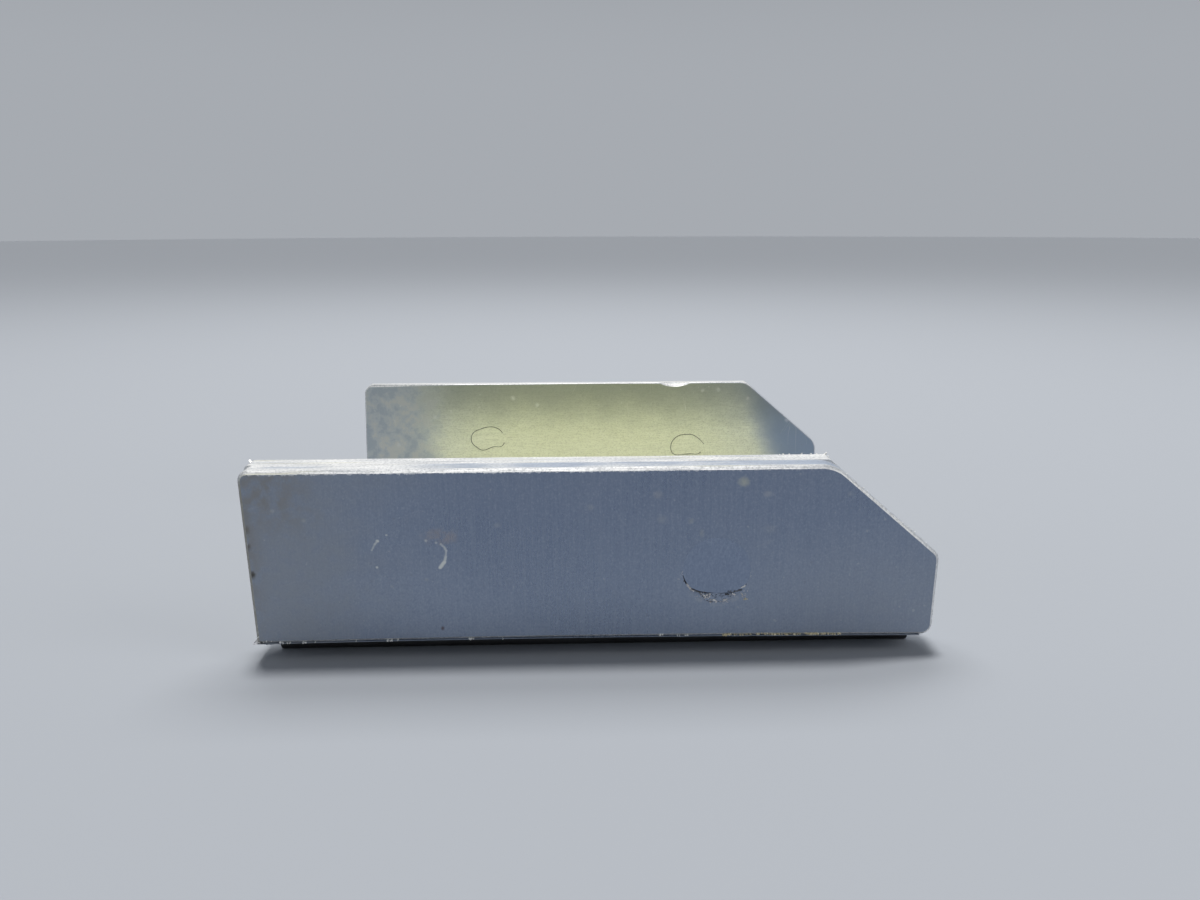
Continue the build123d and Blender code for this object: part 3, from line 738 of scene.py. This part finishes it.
def chip(bm, c, size, rng, flat=0.55):
    """A small torn lump: a squashed, roughened icosahedron."""
    made = bmesh.ops.create_icosphere(bm, subdivisions=1, radius=1.0)
    turn = Matrix.Rotation(rng.uniform(0, 6.28), 3, "Y") @ Matrix.Rotation(rng.uniform(-0.5, 0.5), 3, "X")
    sx, sz = size * rng.uniform(0.7, 1.5), size * rng.uniform(0.45, 0.9)
    for v in made["verts"]:
        k = rng.uniform(0.7, 1.25)
        p = Vector((v.co.x * sx * k, v.co.y * size * flat * k, v.co.z * sz * k))
        v.co = Vector(c) + turn @ p


# lower edge of the plates, strongest where the shear tore
foot_burr("foot_burr_front", "front", -44.30, 43.4, (
    (-43.6, -42.1, 0.10), (-41.7, -41.0, 0.07), (-40.4, -39.8, 0.08), (-38.3, -37.8, 0.06),
    (-27.4, -26.8, 0.08), (-16.8, -16.0, 0.07), (8.3, 9.2, 0.07), (10.6, 12.5, 0.07),
    (16.8, 20.8, 0.07), (21.3, 27.6, 0.08), (27.9, 32.8, 0.07)), 0.022, 5)
foot_burr("foot_burr_rear", "rear", -42.5, 43.4, (
    (-40.2, -37.8, 0.10), (-30.6, -29.9, 0.12), (-12.0, -8.5, 0.09), (3.0, 9.0, 0.11),
    (20.5, 22.0, 0.14), (31.0, 36.0, 0.08)), 0.035, 12)

# sheet metal smeared over the rims of the front rivet ends when they were dressed
def smear(name, rivet, a0, a1, r0, r1, seed):
    x, z = RIVETS[rivet]
    s = -1.0 if "front" in rivet else 1.0
    bm = bmesh.new()
    rows = []
    steps = int(abs(a1 - a0) / 2.0)
    for i in range(steps + 1):
        t = i / steps
        a = math.radians(a0 + (a1 - a0) * t)
        taper = min(1.0, t / 0.06, (1.0 - t) / 0.06) if abs(a1 - a0) < 359 else 1.0
        w = 0.03 * noise.noise(Vector((math.cos(a) * 3.0, math.sin(a) * 3.0, seed)))
        mid, half = (r0 + r1) / 2 + w, max(0.02, (r1 - r0) / 2 * taper)
        rows.append([(x + (mid + q * half) * math.cos(a), s * (Y_OUT - d), z + (mid + q * half) * math.sin(a))
                     for q, d in ((-1.0, 0.010), (1.0, 0.010), (1.0, 0.16), (-1.0, 0.16))])
    sweep(bm, rows)
    return new_piece(name, bm, "plate_front" if s < 0 else "plate_rear")


smear("smear_front_left", "rivet_front_left", -24.0, 336.0, HEAD_R - 0.42, HEAD_R + 0.05, 1.0)


def close_over(name, rivet, outline, first, last, inward):
    """Strip of sheet pushed over part of the gap round a hammered tail."""
    cx, cz = RIVETS[rivet]
    bm = bmesh.new()
    rows = []
    pts = outline[first:last + 1]
    for i, ((x0, z0), (x1, z1)) in enumerate(zip(pts, pts[1:])):
        for j in range(6):
            t = j / 6.0
            x, z = x0 + (x1 - x0) * t, z0 + (z1 - z0) * t
            r = math.hypot(x, z)
            rows.append([(cx + x * (r + q) / r, Y_IN + d, cz + z * (r + q) / r)
                         for q, d in ((0.10, -0.008), (-inward - 0.04, -0.008), (-inward - 0.04, 0.12), (0.10, 0.12))])
    sweep(bm, rows)
    return new_piece(name, bm, "inner_rear")


close_over("closed_rear_left", "rivet_rear_left",
           [(3.22, -0.85), (3.37, -0.27), (3.30, 0.20), (3.10, 0.73), (2.80, 1.22)], 0, 4, 0.14)
close_over("closed_rear_right", "rivet_rear_right",
           [(2.70, -1.55), (3.10, -0.91), (3.36, -0.40), (3.36, 0.10)], 0, 3, 0.14)
smear("smear_front_right", "rivet_front_right", -35.0, 197.5, HEAD_R - 0.42, HEAD_R + 0.05, 3.0)
smear("smear_rear_left", "rivet_rear_left", -60.0, 150.0, HEAD_R - 0.35, HEAD_R + 0.05, 4.0)

# corner shards
def flake(bm, a, b, face, width, thick):
    """A blunt strip from a to b, its broad side turned towards the vector face."""
    a, b = Vector(a), Vector(b)
    d = (b - a).normalized()
    up = Vector(face)
    up = (up - d * up.dot(d)).normalized()
    side = up.cross(d).normalized()
    rows = []
    for t, w in ((0.0, 0.80), (0.12, 1.0), (0.5, 0.95), (0.82, 1.0), (0.95, 0.80), (1.0, 0.45)):
        c = a.lerp(b, t)
        rows.append([tuple(c + side * (0.5 * width * w * u) + up * (thick * v))
                     for u, v in ((-1.0, -0.1), (-0.72, 0.40), (0.72, 0.46), (1.0, 0.0), (0.5, -0.5), (-0.5, -0.5))])
    sweep(bm, rows)


bm = bmesh.new()
flake(bm, (-44.74, -29.72, 24.88), (-45.50, -28.95, 25.62), (0.05, -0.56, 0.83), 0.40, 0.20)
new_piece("shard_top_left", bm, "burr")

bm = bmesh.new()
shard(bm, (30.95, -29.50, 25.58), (31.34, -29.42, 26.00), 0.46, 0.34, (0, 0, 0.05))
shard(bm, (31.25, -29.60, 25.40), (31.62, -29.50, 25.52), 0.26, 0.22)
new_piece("shard_clip_corner", bm, "burr")

bm = bmesh.new()
shard(bm, (-44.02, -35.66, 3.50), (-44.40, -35.84, 3.05), 0.20, 0.20, (-0.05, 0, 0.03), 4)
shard(bm, (-43.95, -35.64, 2.60), (-44.45, -35.80, 2.76), 0.24, 0.18, (0, 0, 0.03), 4)
for x, z, r in ((-43.12, 2.82, 0.16), (-42.48, 2.80, 0.13), (-43.50, 2.66, 0.10)):
    chip(bm, (x, -Y_OUT + 0.06, z), r, random.Random(int(-x * 100)), 1.4)
new_piece("shard_foot_left", bm, "burr")

bm = bmesh.new()
shard(bm, (-44.30, -35.80, 2.98), (-44.82, -35.84, 2.50), 0.24, 0.20, (-0.03, 0, 0.02), 4)
shard(bm, (-44.10, -35.50, 2.60), (-44.78, -35.80, 2.46), 0.20, 0.16, (0, 0, -0.02), 4)
new_piece("shard_foot_tip", bm, "burr_dull")

# bright flecks along the front plate's lower edge
rng = random.Random(21)
bright, warm = bmesh.new(), bmesh.new()
for x, up, r in ((-41.34, 0.16, 0.12), (-41.05, 0.08, 0.10), (-40.12, 0.06, 0.13), (-40.45, 0.05, 0.09),
                 (-38.10, 0.04, 0.13), (-38.35, 0.05, 0.08), (-36.80, 0.05, 0.10), (-31.48, 0.05, 0.08),
                 (-27.30, 0.03, 0.12), (-27.05, 0.00, 0.15), (-26.80, 0.05, 0.09), (-26.03, 0.14, 0.11),
                 (-16.60, 0.06, 0.12), (-16.35, 0.05, 0.12), (-16.10, 0.07, 0.09), (-12.26, 0.03, 0.07),
                 (8.60, 0.22, 0.14), (8.90, 0.24, 0.12), (8.50, 0.10, 0.10), (10.88, 0.12, 0.13),
                 (11.15, 0.06, 0.09), (12.21, 0.15, 0.14), (11.90, 0.10, 0.10)):
    chip(bright, (x, -Y_OUT + 0.14, foot_z(x) + up), r * 1.35, rng, 0.27 / (r * 1.35))
for a, b, n, size, up in ((16.8, 17.4, 5, 0.14, 0.10), (17.4, 18.1, 8, 0.15, 0.30), (18.4, 20.7, 12, 0.11, 0.14),
                          (21.4, 22.9, 9, 0.14, 0.30), (22.9, 27.4, 26, 0.11, 0.20), (27.9, 31.2, 28, 0.14, 0.28),
                          (31.2, 32.8, 8, 0.10, 0.22)):
    for i in range(n):
        x = rng.uniform(a, b)
        z, r = foot_z(x) + up * rng.uniform(0.4, 1.1), size * rng.uniform(0.8, 1.5)
        chip(warm, (x, -Y_OUT + 0.14, z), r, rng, 0.27 / r)
new_piece("flecks_foot_bright", bright, "burr")
new_piece("flecks_foot_warm", warm, "burr_warm")

# torn metal in the open crescent under the right rivet end
cx, cz = RIVETS["rivet_front_right"]
bright, warm, dark, dull = bmesh.new(), bmesh.new(), bmesh.new(), bmesh.new()
rng = random.Random(8)


def along(points, step):
    """Points spaced along a polyline."""
    out = []
    for (x0, z0), (x1, z1) in zip(points, points[1:]):
        n = max(1, int(math.hypot(x1 - x0, z1 - z0) / step))
        out += [(x0 + (x1 - x0) * i / n, z0 + (z1 - z0) * i / n) for i in range(n)]
    return out + [points[-1]]


# most of it is packed with torn metal in the plate's own tone: a lumpy sheet that
# leaves a thin gap under the head's edge where the photo is dark
HEAD_EDGE = [(180.0, 4.43), (195.2, 4.37), (208.0, 4.21), (221.8, 3.93), (242.3, 3.46), (270.0, 3.22),
             (298.8, 3.63), (319.4, 4.21), (334.0, 4.43), (348.4, 4.45), (360.0, 4.43)]


def head_edge(deg):
    for (a0, r0), (a1, r1) in zip(HEAD_EDGE, HEAD_EDGE[1:]):
        if a0 <= deg <= a1:
            return r0 + (r1 - r0) * (deg - a0) / (a1 - a0)
    return 4.43


rows = []
for i in range(104):
    deg = 205.0 + i * 1.17
    a = math.radians(deg)
    shut = max(0.0, min(1.0, (deg - 220.0) / 5.0, (254.0 - deg) / 5.0),
               min(1.0, (deg - 289.0) / 5.0, (323.0 - deg) / 4.0))
    slit = 0.03 + 0.17 * shut * (0.45 + 0.9 * abs(noise.noise(Vector((deg * 0.21, 3.0, 1.0)))))
    inner = min(head_edge(deg) + slit, 4.38)
    lump = 0.05 * noise.noise(Vector((deg * 0.35, 1.0, 7.0)))
    mid = inner + (4.50 - inner) * 0.45
    rows.append([(cx + r * math.cos(a), -Y_OUT + d, cz + r * math.sin(a))
                 for r, d in ((inner, 0.09 + lump), (mid, 0.05 - lump), (4.50, 0.02), (4.50, 0.24), (inner, 0.24))])
sweep(dull, rows)
for i in range(46):
    deg = rng.uniform(214.0, 326.0)
    a = math.radians(deg)
    inner = min(head_edge(deg) + 0.2, 4.3)
    r = rng.uniform(inner, 4.55)
    chip(dull, (cx + r * math.cos(a), -Y_OUT + 0.06, cz + r * math.sin(a)), rng.uniform(0.10, 0.20), rng, 0.35)
# dark chips along the gap under the head's edge: painted shade for the gap's depth
for line, step, size in (
        ([(11.58, 10.52), (11.70, 10.16)], 0.10, 0.13),
        ([(12.72, 9.28), (13.02, 9.10), (13.59, 8.85), (14.07, 8.72), (14.50, 8.90)], 0.12, 0.12),
        ([(13.70, 8.72), (14.18, 8.12)], 0.14, 0.10), ([(14.45, 8.62), (14.75, 8.40)], 0.14, 0.11),
        ([(17.45, 8.90), (18.12, 8.84), (18.68, 8.90), (19.20, 9.15)], 0.12, 0.13),
        ([(17.15, 8.42), (17.75, 8.40)], 0.12, 0.14),
        ([(14.37, 7.78), (14.95, 7.47), (15.4, 7.42)], 0.16, 0.08),
        ([(16.0, 7.45), (16.9, 7.46), (17.6, 7.40)], 0.22, 0.07),
        ([(15.2, 8.42), (15.35, 8.30)], 0.12, 0.09), ([(14.80, 7.62), (15.05, 7.50)], 0.12, 0.08)):
    for x, z in along(line, step):
        if rng.random() < 0.16:
            continue
        chip(dark, (x + rng.uniform(-0.03, 0.03), -Y_OUT + 0.005, z + rng.uniform(-0.03, 0.03)),
             size * rng.uniform(0.8, 1.2), rng, 0.35)
for x, z in along([(12.02, 9.98), (12.25, 9.62), (12.48, 9.32), (12.80, 9.05)], 0.16):
    chip(warm, (x, -Y_OUT, z), rng.uniform(0.06, 0.10), rng, 0.4)
for x, z, r in ((19.76, 7.78, 0.16), (19.55, 7.72, 0.12), (19.98, 7.76, 0.12), (19.32, 8.42, 0.09),
                (19.40, 8.15, 0.07), (12.45, 9.30, 0.10)):
    chip(warm, (x, -Y_OUT - 0.01, z), r, rng, 0.4)
for x, z, r in ((19.62, 9.62, 0.17), (19.48, 9.50, 0.17), (19.34, 9.42, 0.13), (19.14, 9.38, 0.10),
                (15.55, 7.70, 0.17), (15.72, 7.60, 0.13), (14.31, 8.34, 0.14), (14.45, 8.24, 0.10),
                (14.74, 8.08, 0.10), (17.11, 7.70, 0.11), (18.03, 8.60, 0.08)):
    chip(bright, (x, -Y_OUT - 0.01, z), r, rng, 0.4)
flake(bright, (19.14, -Y_OUT + 0.02, 9.38), (19.72, -Y_OUT + 0.10, 9.72), (-0.3, -0.56, 0.83), 0.30, 0.12)
light = bmesh.new()
for x, z in along([(12.00, 9.92), (12.30, 9.48), (12.62, 9.14), (12.90, 8.98)], 0.09):
    chip(light, (x, -Y_OUT, z), rng.uniform(0.10, 0.16), rng, 0.4)
for x0, x1, z0, z1, n, size in (
        (14.36, 15.05, 7.98, 8.55, 14, 0.12), (15.04, 15.98, 7.36, 7.85, 15, 0.12),
        (16.80, 17.36, 7.42, 7.80, 8, 0.11), (17.70, 18.40, 8.20, 8.62, 9, 0.10),
        (19.20, 20.05, 8.02, 8.95, 11, 0.08), (14.90, 17.60, 7.25, 7.60, 12, 0.07),
        (13.10, 14.20, 7.95, 8.35, 7, 0.07)):
    for i in range(n):
        chip(light, (rng.uniform(x0, x1), -Y_OUT - 0.005, rng.uniform(z0, z1)), size * rng.uniform(0.7, 1.4), rng, 0.4)
for line, step, size in (
        ([(13.85, 8.62), (14.31, 8.34), (14.74, 8.02), (15.30, 7.74), (15.90, 7.58)], 0.17, 0.10),
        ([(16.40, 7.62), (17.11, 7.69), (17.70, 8.05), (18.03, 8.55)], 0.24, 0.08),
        ([(19.15, 8.70), (19.32, 8.30), (19.50, 7.95)], 0.16, 0.07),
        ([(11.40, 11.30), (11.30, 11.75)], 0.15, 0.06), ([(20.30, 10.80), (20.36, 11.40)], 0.15, 0.06)):
    for x, z in along(line, step):
        chip(light, (x + rng.uniform(-0.10, 0.10), -Y_OUT, z + rng.uniform(-0.10, 0.10)),
             size * rng.uniform(0.7, 1.3), rng, 0.35)
new_piece("crescent_light", light, "burr_dull")
new_piece("crescent_dull", dull, "plate_front")
new_piece("crescent_dark", dark, "chip_painted_shade")
new_piece("crescent_warm", warm, "burr_warm")
new_piece("crescent_bright", bright, "burr")

# filings left along the clipped edge and the flange's top edge
rng = random.Random(33)
bits = bmesh.new()
for t in (0.04, 0.11, 0.22, 0.27, 0.43, 0.62, 0.66, 0.70, 0.74, 0.78, 0.92):
    x = 31.9 + t * 12.6
    z = 24.98 - t * 10.81
    for i in range(2):
        chip(bits, (x + rng.uniform(-0.15, 0.15), -Y_OUT + 0.35 + rng.uniform(-0.1, 0.6),
                    z - 0.03 + rng.uniform(-0.05, 0.05)), rng.uniform(0.08, 0.15), rng)
for x in (24.9, 25.4, 26.2, 27.9, 29.2, 29.9):
    chip(bits, (x, -Y_IN - 0.10, TOP + 0.02), rng.uniform(0.09, 0.16), rng)
new_piece("filings", bits, "burr")


# ---- floor and light ----------------------------------------------------
def make_floor():
    bm = bmesh.new()
    bmesh.ops.create_circle(bm, cap_ends=True, segments=96, radius=3.0)
    me = bpy.data.meshes.new("floor")
    bm.to_mesh(me)
    bm.free()
    ob = bpy.data.objects.new("floor", me)
    scene.collection.objects.link(ob)
    m = bpy.data.materials.new("floor")
    m.use_nodes = True
    b = m.node_tree.nodes["Principled BSDF"]
    b.inputs["Base Color"].default_value = (0.42, 0.445, 0.485, 1)
    b.inputs["Roughness"].default_value = 0.9
    b.inputs["Specular IOR Level"].default_value = 0.1
    me.materials.append(m)
    return ob


make_floor()


def area(name, loc, target, size, energy, color=(1, 1, 1), size_y=None):
    li = bpy.data.lights.new(name, "AREA")
    li.energy = energy
    li.color = color
    li.size = size
    if size_y:
        li.shape = "RECTANGLE"
        li.size_y = size_y
    ob = bpy.data.objects.new(name, li)
    ob.location = loc
    d = Vector(target) - Vector(loc)
    ob.rotation_euler = d.to_track_quat("-Z", "Y").to_euler()
    scene.collection.objects.link(ob)
    return ob


sun = bpy.data.lights.new("key", "SUN")
sun.energy = 1.93
sun.color = (1.0, 0.985, 0.96)
sun.angle = math.radians(9.0)
sun_ob = bpy.data.objects.new("key", sun)
sun_ob.rotation_euler = Vector((0.03, -0.150, -1.0)).to_track_quat("-Z", "Y").to_euler()
scene.collection.objects.link(sun_ob)
area("back", (0.0, 0.30, 0.62), (0, 0, 0.01), 0.50, 2.1, (1.0, 0.99, 0.97), 0.25)
area("right", (0.52, -0.24, 0.36), (0.02, -0.03, 0.01), 0.30, 0.6, (1.0, 1.0, 1.0))

world = bpy.data.worlds.new("world")
scene.world = world
world.use_nodes = True
bg = world.node_tree.nodes["Background"]
bg.inputs["Strength"].default_value = 1.0
nt = world.node_tree
where = nt.nodes.new("ShaderNodeTexCoord")
parts = nt.nodes.new("ShaderNodeSeparateXYZ")
nt.links.new(where.outputs["Generated"], parts.inputs[0])
height = nt.nodes.new("ShaderNodeMapRange")
height.interpolation_type = "SMOOTHSTEP"
height.inputs["From Min"].default_value = 0.12
height.inputs["From Max"].default_value = 0.60
nt.links.new(parts.outputs[2], height.inputs["Value"])
sky = nt.nodes.new("ShaderNodeMix")
sky.data_type = "RGBA"
nt.links.new(height.outputs["Result"], sky.inputs[0])
sky.inputs[6].default_value = (0.385, 0.407, 0.44, 1)
sky.inputs[7].default_value = (0.12, 0.13, 0.145, 1)
nt.links.new(sky.outputs[2], bg.inputs["Color"])

scene.view_settings.view_transform = "Standard"
scene.view_settings.look = "None"
